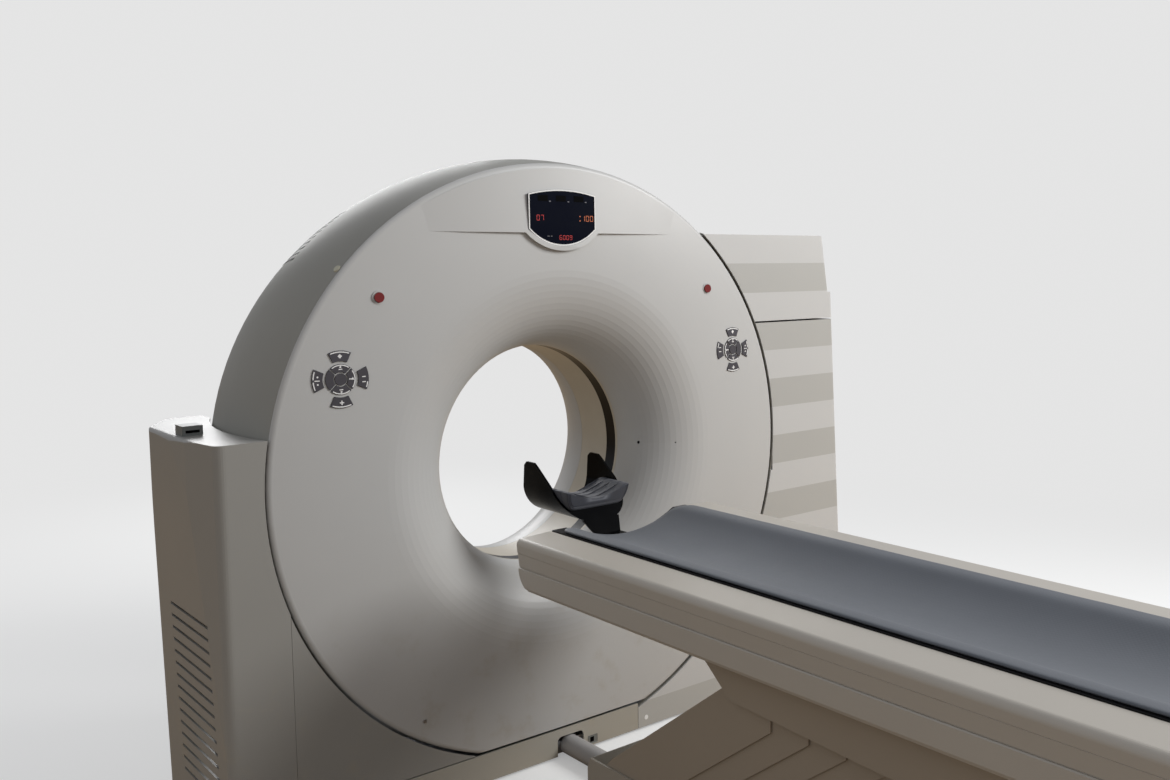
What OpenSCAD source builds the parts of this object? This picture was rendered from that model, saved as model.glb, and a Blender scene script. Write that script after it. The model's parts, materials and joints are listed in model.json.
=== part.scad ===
// Whole-body CT scanner: a tilting gantry between two towers, and a lifting patient table.
// x = 0 is the middle of the bore, y = 0 the scan plane and tilt axis, z = 0 the floor.
// The front of the gantry faces -y and the table stands in front of it.

/* [Gantry] */
// Height of the bore axis and of the tilt axis
iso_height = 959; // [950:1:980]
// Radius of the bore tunnel
bore_r = 350; // [340:1:360]
// Floor to the ball that the tilting covers follow
ball_gap = 19; // [15:1:29]
// Front crease, where the front cover turns into the rim, to the rim's edge
crease_step = 16.5; // [12:0.5:25]
// Front crease to scan plane
front_face = 225; // [215:1:232]
// How far the front cover bulges before its crease
front_bulge = 15; // [5:1:20]
// Rear crease to scan plane
rear_face = 415; // [400:1:425]
// How far the rear cover bulges behind its crease
rear_bulge = 25; // [10:1:30]
// Radius at which the front cover turns into the bore funnel
funnel_r = 590; // [560:1:640]
// Radius at which the rear cover turns into its funnel
rear_funnel_r = 580; // [560:1:620]
// Front end of the straight tunnel, in front of the scan plane
tunnel_front = 38; // [34:1:60]
// Rear end of the straight tunnel, behind the scan plane
tunnel_rear = 175; // [150:1:185]
// How far the rolled underside lies within the ball
under_in = 56; // [52:1:70]
// Wall of the moulded covers
wall = 6; // [4:0.5:8]
// Depth of the rounded lip between crease and rim
lip = 12; // [8:1:20]
// Open joint between two covers
seam = 0.9; // [0.5:0.1:0.9]
// Running gap between the tilting covers and the fixed ones
swing_gap = 8; // [5:1:14]
// Half width of the dark scan window in the tunnel
window_half = 25; // [15:1:30]
// Wall of the tunnel lining
liner_wall = 5; // [3:0.5:6]

/* [Display and keys] */
// Top of the crease down to the brow line on the front cover
brow_down = 196; // [183:1:208]
// Half length of the brow
brow_half = 500; // [450:10:540]
// How far the brow stands proud at the middle
brow_proud = 14; // [8:1:18]
// Half width of the display
display_half = 122; // [110:1:128]
// Top of the crease down to the display's top
display_down = 65; // [53:1:73]
// Height of the display at the middle
display_height = 170; // [150:1:190]
// Rise of the display's top arc
display_crown = 15; // [8:1:20]
// Depth of the display's bottom arc
display_chin = 50; // [40:1:60]
// Rim of the housing around the lower display
display_rim = 15; // [10:1:20]
// Keypad centre inward from the crease
keypad_in = 124.5; // [115:0.5:135]
// Angle of the keypads above the bore axis
keypad_angle = 23.2; // [20:0.2:26]
// Radius of the round centre key
centre_key_r = 16; // [12:1:17]
// Outer radius of the key ring
ring_key_r = 41; // [38:1:43]
// Inner radius of the outer keys
outer_key_in = 49; // [46:1:52]
// Outer radius of the outer keys
outer_key_out = 77; // [70:1:84]
// Half angle that an outer key spans
outer_key_half = 25; // [20:1:30]
// Space between two keys
key_space = 4; // [3:0.5:5]
// Gap around a key in its hole
key_gap = 0.5; // [0.3:0.1:0.8]
// Height of a key above the cover
key_rise = 3; // [2.5:0.5:5]
// Stop button inward from the crease
stop_in = 107.5; // [95:0.5:125]
// Angle of the stop buttons above the bore axis
stop_angle = 41.2; // [38:0.2:44]
// Radius of the stop button
stop_r = 14; // [10:1:18]

/* [Rotor and tilting frame] */
// How far the rotating disc's rim lies within the ball
disc_in = 155; // [152:1:180]
// Front face of the rotating disc
disc_front = 100; // [90:1:104]
// Thickness of the rotating disc
disc_t = 25; // [20:1:26]
// Outer radius of the disc's hub in the main bearing
hub_r = 430; // [425:1:440]
// Radial running clearance of hub and trunnions
run_gap = 0.1; // [0.05:0.01:0.1]
// Length of the main bearing
bearing_l = 60; // [50:1:62]
// How far the rotating hub ends short of the tilting frame
hub_end = 3; // [2:0.5:5]
// Wall of the rotating hub
hub_wall = 35; // [28:1:45]
// Width of the main bearing's ring
bearing_w = 65; // [50:1:70]
// Half height of the tilting frame's arms and cheeks
yoke_half = 120; // [100:5:140]
// Thickness of the tilting frame plate
frame_t = 28; // [20:1:30]
// Focus of the tube above the bore axis
focus_r = 640; // [620:1:660]
// Radius of the tube housing
tube_r = 95; // [85:1:105]
// Focus to detector
detector_reach = 1150; // [1140:1:1165]
// Half angle of the fan that the detector covers
fan_half = 24; // [20:1:26]
// Depth of the detector arc
detector_t = 60; // [40:1:70]
// Radius of the tilt trunnions
trunnion_r = 45; // [38:1:52]

/* [Base and towers] */
// Side clearance from the tilting covers' swing to each stand
stand_gap = 7; // [4:1:14]
// Thickness of a stand
stand_t = 70; // [60:1:72]
// Front edge of the stands, in front of the tilt axis
stand_front = 190; // [180:5:200]
// Rear edge of the stands, behind the tilt axis
stand_rear = 280; // [270:5:300]
// Top of the base plate
base_top = 50; // [44:1:54]
// Height of the levelling feet
foot_h = 12; // [8:1:20]
// Top of the left tower above the bore axis
left_up = 159; // [141:1:181]
// Outer side of the left tower, at its middle, beyond the covers' swing
left_side = 118; // [114:1:132]
// Top of the ball down to the top of the right tower
right_down = 233; // [219:1:259]
// Outer side of the right tower beyond the covers' swing, at its top
right_side_top = 241; // [232:1:252]
// Outer side of the right tower beyond the covers' swing, at the floor
right_side_floor = 364; // [342:1:382]
// Height of the right tower's head above its seam
head_height = 312; // [286:1:336]
// How far the right tower reaches in behind the tilting covers
right_reach = 388; // [370:2:390]
// Step in the right tower's outer side above that seam
step_up = 100; // [90:1:110]
// Joint of infill and tower inward from the covers' swing
infill_in = 82; // [74:1:90]
// How far the right tower's head leans in above its step
head_lean = 50; // [40:2:60]
// Rear of the towers
tower_rear = 430; // [426:1:440]
// Height of the brackets that carry the covers
bracket_h = 80; // [60:5:95]
// Top edge of the skirt panel
skirt_top = 95; // [90:1:98]
// Right end of the front skirt
skirt_end = 279; // [260:1:300]
// Clearance of sliding and free pivoting pieces
free_gap = 0.5; // [0.3:0.1:0.8]
// Open line under the panels
floor_line = 8; // [5:1:12]
// Number of cooling slots in the left tower
slot_count = 15; // [10:1:15]
// Top of the uppermost slot
slot_top = 640; // [620:5:660]
// Front end of the slots
slot_front = -140; // [-150:5:-120]
// Rear end of the slots
slot_rear = 170; // [150:5:180]
// Pitch of the cooling slots
slot_pitch = 34.5; // [32:0.5:36]
// Height of one cooling slot
slot_h = 9; // [6:1:12]

/* [Table] */
// Half width of the table top housing
top_half = 355; // [345:1:365]
// Inner upper edge of the table top housing
top_z = 824; // [818:1:828]
// How far the top falls towards its outer edge
top_fall = 4; // [1:1:8]
// Radius of the housing's upper outer edge
top_edge_r = 18; // [12:1:24]
// Underside of the table top housing
top_under = 676; // [668:1:684]
// Fine seam along the side of the housing
fine_seam_z = 780; // [772:1:788]
// Lower seam, where the tray meets the upper moulding
tray_seam_z = 740; // [732:1:748]
// Front end of the housing, in front of the scan plane
top_front = 520; // [510:1:530]
// Length of the housing
top_length = 2180; // [2150:10:2400]
// Half width of the patient board
board_half = 243; // [238:1:244]
// Upper rim of the patient board above the housing's edge
board_rise = 2; // [1:1:4]
// Front end of the patient board
board_front = 524; // [520:1:560]
// Length of the patient board
board_length = 2100; // [2050:10:2120]
// Depth of the board's hollow
board_hollow = 53; // [46:1:56]
// Radius of the hollow
hollow_r = 385; // [370:5:420]
// Thickness of the patient board
board_t = 22; // [16:1:24]
// Thickness of its level rim
rim_t = 12; // [8:1:16]
// Thickness of the mattress
mattress_t = 8; // [6:1:12]
// Half width of the mattress
mattress_half = 238; // [230:1:242]
// Rear underside of the fairing below the housing
fairing_low = 563; // [558:1:570]
// Wall of the fairing's sides
cheek_t = 8; // [6:1:10]
// Half width of the pedestal covers
pedestal_half = 290; // [286:1:292]
// Top of the table foot
foot_top = 258; // [250:1:262]
// Top of the table foot at the rear, where the upper pins come down
foot_low = 225; // [215:1:228]
// Front of the table foot
foot_front = 745; // [740:1:750]
// Length of the table foot
foot_length = 1410; // [1400:5:1480]
// Floor plate of the table foot
foot_plate = 12; // [10:1:16]
// Front pivot of the arms, in front of the scan plane
pivot_y = 825; // [820:1:830]
// Height of the lower pivots
pivot_z = 206; // [200:1:210]
// Length of the parallel arms between pivots
arm_length = 667; // [660:1:670]
// Rise angle of the arms as shown
arm_angle = 36; // [35:0.5:37]
// Rise angle of the arms at the lowest table height
low_angle = 3; // [3:0.5:5]
// Depth of a structural arm
arm_depth = 60; // [50:1:64]
// Width of a structural arm
arm_width = 40; // [34:1:44]
// Front edge of the front side plate above its pivot line
plate_above = 50; // [42:1:54]
// Rear edge of the front side plate below its pivot line
plate_below = 89; // [80:1:92]
// Corner of the front side plate, from its lower pivot along the arm
plate_corner = 688; // [670:1:692]
// Corner of a lamella, from its lower pivot along the arm
lamella_corner = 632; // [620:1:640]
// How far a corner rises upright before it passes behind the fairing
corner_rise = 36; // [30:1:42]
// Width of a lamella
lamella_plate = 85; // [78:1:92]
// Pitch of the lamellae along the floor
lamella_pitch = 102; // [98:1:106]
// Thickness of a side plate
plate_t = 4; // [3:0.5:4.5]
// Space from one side plate to the next
plate_step = 6; // [5.5:0.5:6.5]
// Inner face of the foot's rails
rail_in = 200; // [190:1:206]
// Thickness of the rails that carry the pivots
rail_t = 12; // [10:1:14]
// How far the arms reach past their upper pivots
end_past = 22; // [20:1:30]
// Radius of the plates' lower ends
heel_r = 42; // [36:1:42]
// Radius of the lamella pins
pin_r = 7; // [5:0.5:8]
// Radius of the arm shafts
shaft_r = 16; // [12:1:18]
// Radius of the conduit between gantry and table
conduit_r = 32; // [28:1:34]
// Sideways place of the conduit
conduit_x = 8; // [0:1:15]

/* [Head holder] */
// Half width of the head holder
holder_half = 122; // [116:1:124]
// Bottom of the head holder shell
holder_bottom = 803; // [800:1:806]
// Radius of its rounded lower edges
holder_edge_r = 90; // [80:1:100]
// End of the head holder at the scan plane
holder_end = 185; // [175:5:195]
// Top of its wings
wing_top = 965; // [955:1:975]
// Foot of the wings, from the scan plane
wing_foot = 331; // [325:1:340]
// Top of the slanting front panel, from the scan plane
panel_end = 397; // [390:1:405]
// Height of the front panel's top edge
panel_top = 836; // [830:1:842]
// Half width of the tongue that carries the holder
tongue_half = 45; // [40:1:50]
// Wall of the head holder shell
holder_wall = 7; // [5:0.5:9]
// Head end of the pad, from the scan plane
pad_end = 275; // [265:5:285]
// Top of the pad's edges
pad_top = 897; // [890:1:900]
// Lowest line of the hollow that takes the head
pad_low = 863; // [858:1:864]
// Radius of that hollow
head_r = 225; // [215:5:240]

/* [Hidden] */

fine = 180;
extra_fine = 720;
hull_fn = 32;
face_gap = 0.3;
cover_white = [0.85, 0.84, 0.81];
cover_shade = [0.74, 0.72, 0.68];
steel = [0.55, 0.56, 0.58];

ball_r = iso_height - ball_gap;
fixed_r = ball_r + swing_gap;
under_r = ball_r - under_in;
split_y = front_face - lip;
rear_split_y = rear_face - lip;
rim_r = sqrt(ball_r * ball_r - split_y * split_y);
rear_rim_r = sqrt(ball_r * ball_r - rear_split_y * rear_split_y);
crease_r = rim_r - crease_step;
rear_crease_r = rear_rim_r - crease_step;
brow_z = iso_height + crease_r - brow_down;
display_top = iso_height + crease_r - display_down;
display_bottom = display_top - display_height;
keypad_x = (crease_r - keypad_in) * cos(keypad_angle);
keypad_z = iso_height + (crease_r - keypad_in) * sin(keypad_angle);
stop_x = (crease_r - stop_in) * cos(stop_angle);
stop_z = iso_height + (crease_r - stop_in) * sin(stop_angle);
disc_r = ball_r - disc_in;
web_r = (hub_r + disc_r) / 2;
web_half = (disc_r - hub_r) / 2;
disc_rear = disc_front + disc_t;
frame_front = disc_rear + bearing_l + hub_end;
stand_in = fixed_r + stand_gap;
stand_out = stand_in + stand_t;
left_top = iso_height + left_up;
left_out = fixed_r + left_side;
right_top = iso_height + ball_r - right_down;
right_out_top = fixed_r + right_side_top;
right_out_floor = fixed_r + right_side_floor;
head_seam_z = right_top - head_height;
step_z = head_seam_z + step_up;
infill_x = fixed_r - infill_in;
infill_top = iso_height - 250;
right_in = fixed_r - right_reach;
panel_front = front_face;
plate_r = sqrt(fixed_r * fixed_r - pow(panel_front - wall, 2));
arm_pivot = [-pivot_y, pivot_z];
side_plate_out = pedestal_half - 8;
cheek_in = pedestal_half + 2;
carrier_rail_in = rail_in + rail_t + 4;
board_top = top_z + board_rise;
hollow_centre = board_top - board_hollow + hollow_r;
board_under = board_top - board_hollow - board_t;
deck_z = board_under - free_gap;
deck_under = deck_z - 8;
pocket_half = cheek_in + cheek_t + free_gap;
key_depth = wall + 4;

// Distance of the front cover from the scan plane at radius r
function front_at(r) = front_face
    + front_bulge * (1 - pow((r - funnel_r) / (crease_r - funnel_r), 2));

// Profile of a dished cover: lip, bulged face and elliptic funnel, as points [r, distance]
function dish(rim, crease, face, bulge, funnel, tunnel, in) = concat(
    [for (a = [0 : 10 : 80])
        [crease + (rim - crease - in) * cos(a), face - lip + (lip - in) * sin(a)]],
    [for (i = [0 : 13]) let (r = crease + (funnel - crease) * i / 14)
        [r, face - in + bulge * (1 - pow((r - funnel) / (crease - funnel), 2))]],
    [for (a = [0 : 5 : 90])
        [funnel - (funnel - bore_r - in) * sin(a), tunnel + (face + bulge - in - tunnel) * cos(a)]]);

function reversed(list) = [for (i = [len(list) - 1 : -1 : 0]) list[i]];
function arc(r, from, to, steps) =
    [for (i = [0 : steps]) let (a = from + (to - from) * i / steps) [r * cos(a), r * sin(a)]];

// Turns a profile of [r, y] about the bore axis
module about_bore(points) {
    translate([0, 0, iso_height]) rotate([-90, 0, 0]) rotate_extrude($fn = fine) polygon(points);
}

module bore_ring(r_in, r_out, y_from, y_to) {
    about_bore([[r_in, y_from], [r_out, y_from], [r_out, y_to], [r_in, y_to]]);
}

// A bar along y, round about the bore axis's direction
module along_y(r, y_from, y_to, x, z) {
    translate([x, y_from, z]) rotate([-90, 0, 0]) cylinder(r = r, h = y_to - y_from, $fn = fine);
}

module along_x(r, x_from, x_to, y, z) {
    translate([x_from, y, z]) rotate([0, 90, 0]) cylinder(r = r, h = x_to - x_from, $fn = fine);
}

module block(x, y, z) {
    translate([x[0], y[0], z[0]]) cube([x[1] - x[0], y[1] - y[0], z[1] - z[0]]);
}

// Extrudes a shape drawn in x and z from y_front back to y_back
module through_face(y_front, y_back) {
    translate([0, y_back, 0]) rotate([90, 0, 0]) linear_extrude(height = y_back - y_front) children();
}

// Extrudes a shape drawn in y and z from x_from to x_to
module across(x_from, x_to) {
    translate([x_from, 0, 0]) rotate([90, 0, 90]) linear_extrude(height = x_to - x_from) children();
}

module both_sides() {
    children();
    mirror([1, 0, 0]) children();
}

// Space that the rolled underside leaves to the tilting covers
module under_form(r) {
    along_x(r, -ball_r - 10, ball_r + 10, 0, iso_height);
    block([-ball_r - 10, ball_r + 10], [-ball_r, ball_r], [iso_height - r / 2, iso_height + ball_r]);
}

// The ball in which the tilting covers swing
module swing_space() {
    translate([0, 0, iso_height]) sphere(r = fixed_r, $fn = fine);
}

// Tilting covers

module display_outline(grow) {
    top_arc = (pow(display_half, 2) + pow(display_crown, 2)) / (2 * display_crown);
    low_arc = (pow(display_half, 2) + pow(display_chin, 2)) / (2 * display_chin);
    intersection() {
        translate([0, display_top - top_arc]) circle(r = top_arc + grow, $fn = extra_fine);
        translate([0, display_bottom + low_arc]) circle(r = low_arc + grow, $fn = fine);
        translate([-display_half - grow, display_bottom - grow])
            square([2 * (display_half + grow), display_top - display_bottom + 2 * grow]);
    }
}

// Raised brow with the display's housing
module brow() {
    brow_front = front_at(brow_z - iso_height) + brow_proud;
    sag = brow_front - front_face - 3;
    curve_r = pow(brow_half, 2) / (2 * sag);
    intersection() {
        through_face(-brow_front, -front_face + 2) {
            intersection() {
                translate([0, iso_height]) circle(r = crease_r, $fn = fine);
                union() {
                    translate([-brow_half, brow_z]) square([2 * brow_half, ball_r]);
                    display_outline(display_rim);
                }
            }
        }
        translate([0, -brow_front, display_bottom]) rotate([-3.5, 0, 0])
            translate([0, curve_r, -100]) cylinder(r = curve_r, h = 500, $fn = extra_fine);
    }
}

display_face = front_at(brow_z - iso_height) + brow_proud - 8;

// Keypad shapes, drawn about the keypad's centre
module key_sector(r_in, r_out, middle, half, grow) {
    side = key_space / 2 - grow;
    in_a = half - asin(side / r_in);
    out_a = half - asin(side / r_out);
    polygon(concat(arc(r_out + grow, middle - out_a, middle + out_a, 8),
        reversed(arc(r_in - grow, middle - in_a, middle + in_a, 8))));
}

module key_shape(kind, k, grow) {
    if (kind == "centre") circle(r = centre_key_r + grow, $fn = fine);
    if (kind == "ring")
        key_sector(centre_key_r + key_space, ring_key_r, 90 * k, 45, grow);
    if (kind == "outer") key_sector(outer_key_in, outer_key_out, 90 * k, outer_key_half, grow);
}

// One key: its outline pushed through the cover, domed like the cover
module key(side, kind, k) {
    color([0.62, 0.63, 0.65]) intersection() {
        through_face(-front_face - front_bulge - 20, 0)
            translate([side * keypad_x, keypad_z]) key_shape(kind, k, 0);
        key_band(key_rise, key_depth);
    }
}

module key_band(rise, depth) {
    radii = [for (i = [0 : 6]) crease_r - 10 - i * 40];
    about_bore(concat([for (r = radii) [r, -front_at(r) - rise]],
        reversed([for (r = radii) [r, -front_at(r) - rise + depth]])));
}

module key_holes() {
    for (side = [-1, 1]) {
        through_face(-front_face - front_bulge - 20, 0) translate([side * keypad_x, keypad_z]) {
            key_shape("centre", 0, key_gap);
            for (k = [1 : 4]) {
                key_shape("ring", k, key_gap);
                key_shape("outer", k, key_gap);
            }
        }
        along_y(stop_r + key_gap, -front_face - front_bulge - 20, 0, side * stop_x, stop_z);
    }
}

module stop_button(side) {
    r = norm([stop_x, stop_z - iso_height]);
    color([0.55, 0.1, 0.1])
        along_y(stop_r, -front_at(r) - 6, -front_at(r) + key_depth, side * stop_x, stop_z);
}

module front_cover() {
    outer = dish(rim_r, crease_r, front_face, front_bulge, funnel_r, tunnel_front, 0);
    inner = dish(rim_r, crease_r, front_face, front_bulge, funnel_r, tunnel_front, wall);
    stop_d = front_at(norm([stop_x, stop_z - iso_height]));
    color(cover_white) difference() {
        union() {
            intersection() {
                about_bore([for (p = concat(outer, reversed(inner))) [p[0], -p[1]]]);
                under_form(under_r);
            }
            brow();
            for (side = [-1, 1])
                along_y(stop_r + 5, -stop_d - 2, -stop_d + wall / 2, side * stop_x, stop_z);
        }
        through_face(-front_face - 40, -display_face) display_outline(0);
        key_holes();
    }
}

module rear_cover() {
    outer = dish(rear_rim_r, rear_crease_r, rear_face, rear_bulge, rear_funnel_r, tunnel_rear, 0);
    inner = dish(rear_rim_r, rear_crease_r, rear_face, rear_bulge, rear_funnel_r, tunnel_rear, wall);
    color(cover_white) intersection() {
        about_bore(concat(outer, reversed(inner)));
        under_form(under_r);
    }
}

module rim_cover() {
    color(cover_white) difference() {
        intersection() {
            translate([0, 0, iso_height]) sphere(r = ball_r, $fn = fine);
            block([-ball_r, ball_r], [-split_y + seam, rear_split_y - seam], [0, iso_height + ball_r]);
            under_form(under_r);
        }
        intersection() {
            translate([0, 0, iso_height]) sphere(r = ball_r - wall, $fn = fine);
            under_form(under_r - wall);
        }
        along_x(trunnion_r + 12, -ball_r, ball_r, 0, iso_height);
    }
}

module bore_liner() {
    color([0.62, 0.55, 0.45]) {
        bore_ring(bore_r, bore_r + liner_wall, -tunnel_front + seam, -window_half - seam / 2);
        bore_ring(bore_r, bore_r + liner_wall, window_half + seam / 2, tunnel_rear - seam);
    }
}

module scan_window() {
    color([0.05, 0.05, 0.06]) bore_ring(bore_r, bore_r + liner_wall, -window_half, window_half);
}

module display_window() {
    color([0.05, 0.05, 0.08]) through_face(-display_face - 4, -display_face)
        display_outline(-seam / 2);
}

// Tilting frame and rotor

module tilt_frame() {
    cheek_from = disc_r + 12;
    cheek_to = ball_r - 90;
    cheek_front = 70;
    hub_clear = 15;
    rib = 67;
    color(steel) difference() {
        union() {
            intersection() {
                bore_ring(hub_r + hub_clear, ball_r, frame_front, frame_front + frame_t);
                translate([0, 0, iso_height]) sphere(r = ball_r - wall - face_gap, $fn = fine);
                union() {
                    bore_ring(hub_r, disc_r, frame_front - 1, frame_front + frame_t + 1);
                    block([-ball_r, ball_r], [frame_front, frame_front + frame_t],
                        [iso_height - yoke_half, iso_height + yoke_half]);
                }
            }
            both_sides() {
                block([cheek_from, cheek_to], [-cheek_front, frame_front],
                    [iso_height - yoke_half, iso_height + yoke_half]);
                along_x(trunnion_r, cheek_to, stand_out - 3, 0, iso_height);
            }
        }
        translate([0, frame_front + frame_t, iso_height]) rotate([90, 0, 0])
            for (a = [45 : 90 : 315]) rotate([0, 0, a]) translate([web_r, 0, -1])
                cylinder(r = web_half - rib, h = frame_t + 2, $fn = fine);
    }
}

module main_bearing() {
    color([0.75, 0.76, 0.78])
        bore_ring(hub_r + run_gap, hub_r + bearing_w, frame_front - bearing_l, frame_front);
}

module rotor_disc() {
    hub_in = hub_r - hub_wall;
    rib = 97;
    color([0.5, 0.52, 0.55]) {
        difference() {
            about_bore([[hub_in, disc_front], [disc_r, disc_front], [disc_r, disc_rear],
                [hub_r, disc_rear], [hub_r, frame_front - 1], [hub_in, frame_front - 1]]);
            translate([0, disc_rear, iso_height]) rotate([90, 0, 0])
                for (a = [40, 140, 220, 320]) rotate([0, 0, a]) translate([web_r, 0, -1])
                    cylinder(r = web_half - rib, h = disc_t + 2, $fn = fine);
        }
    }
}

module tube_housing() {
    tube_l = 200;
    focus_z = iso_height + focus_r;
    collimator_half = 60;
    collimator_h = 40;
    collimator_d = 100;
    collimator_y = disc_front - (tube_l + collimator_d) / 2;
    color([0.7, 0.68, 0.6]) {
        along_y(tube_r, disc_front - tube_l, disc_front, 0, focus_z);
        block([-collimator_half, collimator_half], [collimator_y, collimator_y + collimator_d],
            [focus_z - tube_r - collimator_h, focus_z - tube_r / 2]);
    }
}

module detector_arc() {
    detector_w = 160;
    from = 270 - fan_half;
    to = 270 + fan_half;
    color([0.3, 0.32, 0.35]) translate([0, disc_front, iso_height + focus_r]) rotate([90, 0, 0])
        linear_extrude(height = detector_w)
            polygon(concat(arc(detector_reach + detector_t, from, to, 24),
                reversed(arc(detector_reach, from, to, 24))));
}

module generator() {
    box_from = web_r - web_half + 40;
    box_to = web_r + web_half - 95;
    box_d = 160;
    box_low = iso_height - 20;
    box_h = 260;
    color([0.35, 0.4, 0.5])
        both_sides() block([box_from, box_to], [disc_front - box_d, disc_front],
            [box_low, box_low + box_h]);
}

// Base and towers

module base_frame() {
    plate_rear = tower_rear - 30;
    plate_left = 11 - infill_x;
    mast_t = 60;
    mast_x = stand_out + 35;
    mast_y = 150;
    color(steel) {
        block([plate_left, mast_x + mast_t], [-split_y, plate_rear], [foot_h, base_top]);
        block([-stand_out, plate_left + 5], [-split_y, stand_rear], [foot_h, base_top]);
        cylinder(r = mast_t, h = foot_h, $fn = fine);
        block([mast_x, mast_x + mast_t], [mast_y, mast_y + mast_t],
            [base_top, right_top - wall - face_gap]);
    }
}

module levelling_feet() {
    foot_r = 38;
    corner_x = stand_out - 50;
    corner_front = stand_front - 40;
    corner_rear = stand_rear - 50;
    middle_x = 480;
    middle_y = 100;
    color([0.2, 0.2, 0.2]) {
        for (x = [-corner_x, corner_x], y = [-corner_front, corner_rear])
            translate([x, y, 0]) cylinder(r = foot_r, h = foot_h, $fn = fine);
        for (x = [-middle_x, middle_x])
            translate([x, middle_y, 0]) cylinder(r = foot_r, h = foot_h, $fn = fine);
    }
}

// A welded stand with its trunnion bore
module stand() {
    head_half = 110;
    head_top = iso_height + 110;
    waist_z = 400;
    color(steel) difference() {
        across(stand_in, stand_out) polygon([[-stand_front, base_top], [stand_rear, base_top],
            [stand_rear - 40, waist_z], [head_half, iso_height + 40], [head_half - 50, head_top],
            [50 - head_half, head_top], [-head_half, iso_height + 40], [40 - stand_front, waist_z]]);
        along_x(trunnion_r + run_gap, stand_in - 1, stand_out + 1, 0, iso_height);
        across(stand_in - 1, stand_out + 1) polygon([[100 - stand_front, base_top + 110],
            [stand_rear - 80, base_top + 110], [stand_rear - 110, waist_z + 20],
            [120 - stand_front, waist_z + 20]]);
    }
}

module tilt_motor() {
    gear_r = 85;
    motor_r = 60;
    gear_end = stand_out + 30;
    motor_l = 80;
    color([0.25, 0.27, 0.3]) {
        along_x(gear_r, stand_out, gear_end, 0, iso_height);
        along_x(motor_r, gear_end, gear_end + motor_l, 0, iso_height);
    }
}

// Rounded corner of a plan outline: centre, radius, first and last angle
function corner(x, y, r, from, to) = [for (p = arc(r, from, to, 6)) [x + p[0], y + p[1]]];

// Left tower, drawn as on the right and mirrored: a plan outline met by a front outline
module left_form(in, z_from) {
    edge_r = 30 - in;
    plan = concat([[infill_x, -panel_front + in]],
        corner(left_out - 22 - 30, -panel_front + 30, edge_r, -90, -25),
        [[left_out - 4 - in, -60], [left_out - in, 60], [left_out - 2 - in, 190]],
        corner(left_out - 70, tower_rear - 190, 68 - in, 0, 30),
        corner(left_out - 120, tower_rear - 32, 32 - in, 30, 90),
        [[infill_x, tower_rear - in]]);
    side = left_out - in;
    intersection() {
        translate([0, 0, z_from]) linear_extrude(height = left_top) polygon(plan);
        through_face(-panel_front - 1, tower_rear + 1) polygon(concat(
            [[infill_x - wall, z_from], [side - 34, z_from]],
            corner(left_out - 16, left_top - 16, 16 - in, 0, 90), [[infill_x - wall, left_top - in]]));
    }
}

module left_tower_cover() {
    color(cover_white) mirror([1, 0, 0]) {
        difference() {
            left_form(0, floor_line);
            left_form(wall, -10);
            swing_space();
            for (i = [0 : slot_count - 1])
                block([left_out - 80, left_out + 20], [slot_front, slot_rear],
                    [slot_top - i * slot_pitch - slot_h, slot_top - i * slot_pitch]);
            block([infill_x - 66, infill_x + seam], [-panel_front - 1, tower_rear + 1],
                [0, iso_height - 150]);
        }
        block([stand_out - 45, left_out - 64], [-panel_front + wall, -stand_front - face_gap],
            [base_top, base_top + bracket_h]);
    }
}

// Outer side of the right tower at height z
function right_side(z) = right_out_floor + (right_out_top + head_lean - right_out_floor) * z / step_z;

module right_form(in, z_from, z_to, x_in, out_low, out_high) {
    hull() for (level = [[z_from, out_low], [z_to - 1, out_high]])
        for (p = [[x_in, -panel_front + in, 1], [level[1] - in, -panel_front + in, 18],
                [level[1] - in, 300, 60], [level[1] - 90 - in, tower_rear - in, 30],
                [x_in, tower_rear - in, 1]])
            translate([p[0] - (p[0] > x_in ? p[2] : 0), p[1] + (p[1] < 0 ? p[2] : -p[2]), level[0]])
                cylinder(r = p[2], h = 1, $fn = hull_fn);
}

module right_tower_cover() {
    low = right_side(0);
    high = right_side(head_seam_z);
    color(cover_white) {
        difference() {
            right_form(0, floor_line, head_seam_z - 3, right_in, low, high);
            right_form(wall, -10, head_seam_z + 20, right_in - 10, low, high);
            swing_space();
            block([right_in - 60, infill_x + seam], [-300, 500], [0, iso_height - 150]);
            block([right_in - 60, plate_r - 5], [-300, 500], [iso_height - 151, iso_height]);
        }
        block([stand_out - 40, stand_out + 60], [-panel_front + wall, -stand_front - face_gap],
            [base_top, base_top + bracket_h]);
    }
}

module right_tower_head() {
    color(cover_white) difference() {
        union() {
            right_form(0, head_seam_z + 3, step_z, right_in, right_side(head_seam_z), right_side(step_z));
            right_form(0, step_z - 1, right_top, right_in, right_side(step_z) - 16, right_out_top);
        }
        right_form(wall, head_seam_z - 20, right_top - wall, right_in - 10, right_side(step_z) - 22,
            right_out_top - 2);
        swing_space();
    }
}

module skirt_plate(x_from, x_to, y, top) {
    block([x_from, x_to], y, [floor_line, top]);
}

module base_skirts() {
    tab_w = 60;
    opening_top = 2 * conduit_r - 10;
    opening_half = 50;
    color(cover_white) difference() {
        union() {
            skirt_plate(-infill_x, skirt_end, [-panel_front, -panel_front + wall], skirt_top);
            for (x = [-700, -200, 180])
                block([x, x + tab_w], [-panel_front + wall, -split_y], [base_top - 30, base_top - 8]);
        }
        hull() for (x = [-26, 42])
            translate([x + conduit_x - 8, -panel_front + wall + 1, opening_top]) rotate([90, 0, 0])
                cylinder(r = 16, h = 8 + wall, $fn = hull_fn);
        block([conduit_x - opening_half, conduit_x + opening_half],
            [-panel_front - 1, -panel_front + wall + 1], [0, opening_top]);
    }
}

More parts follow.
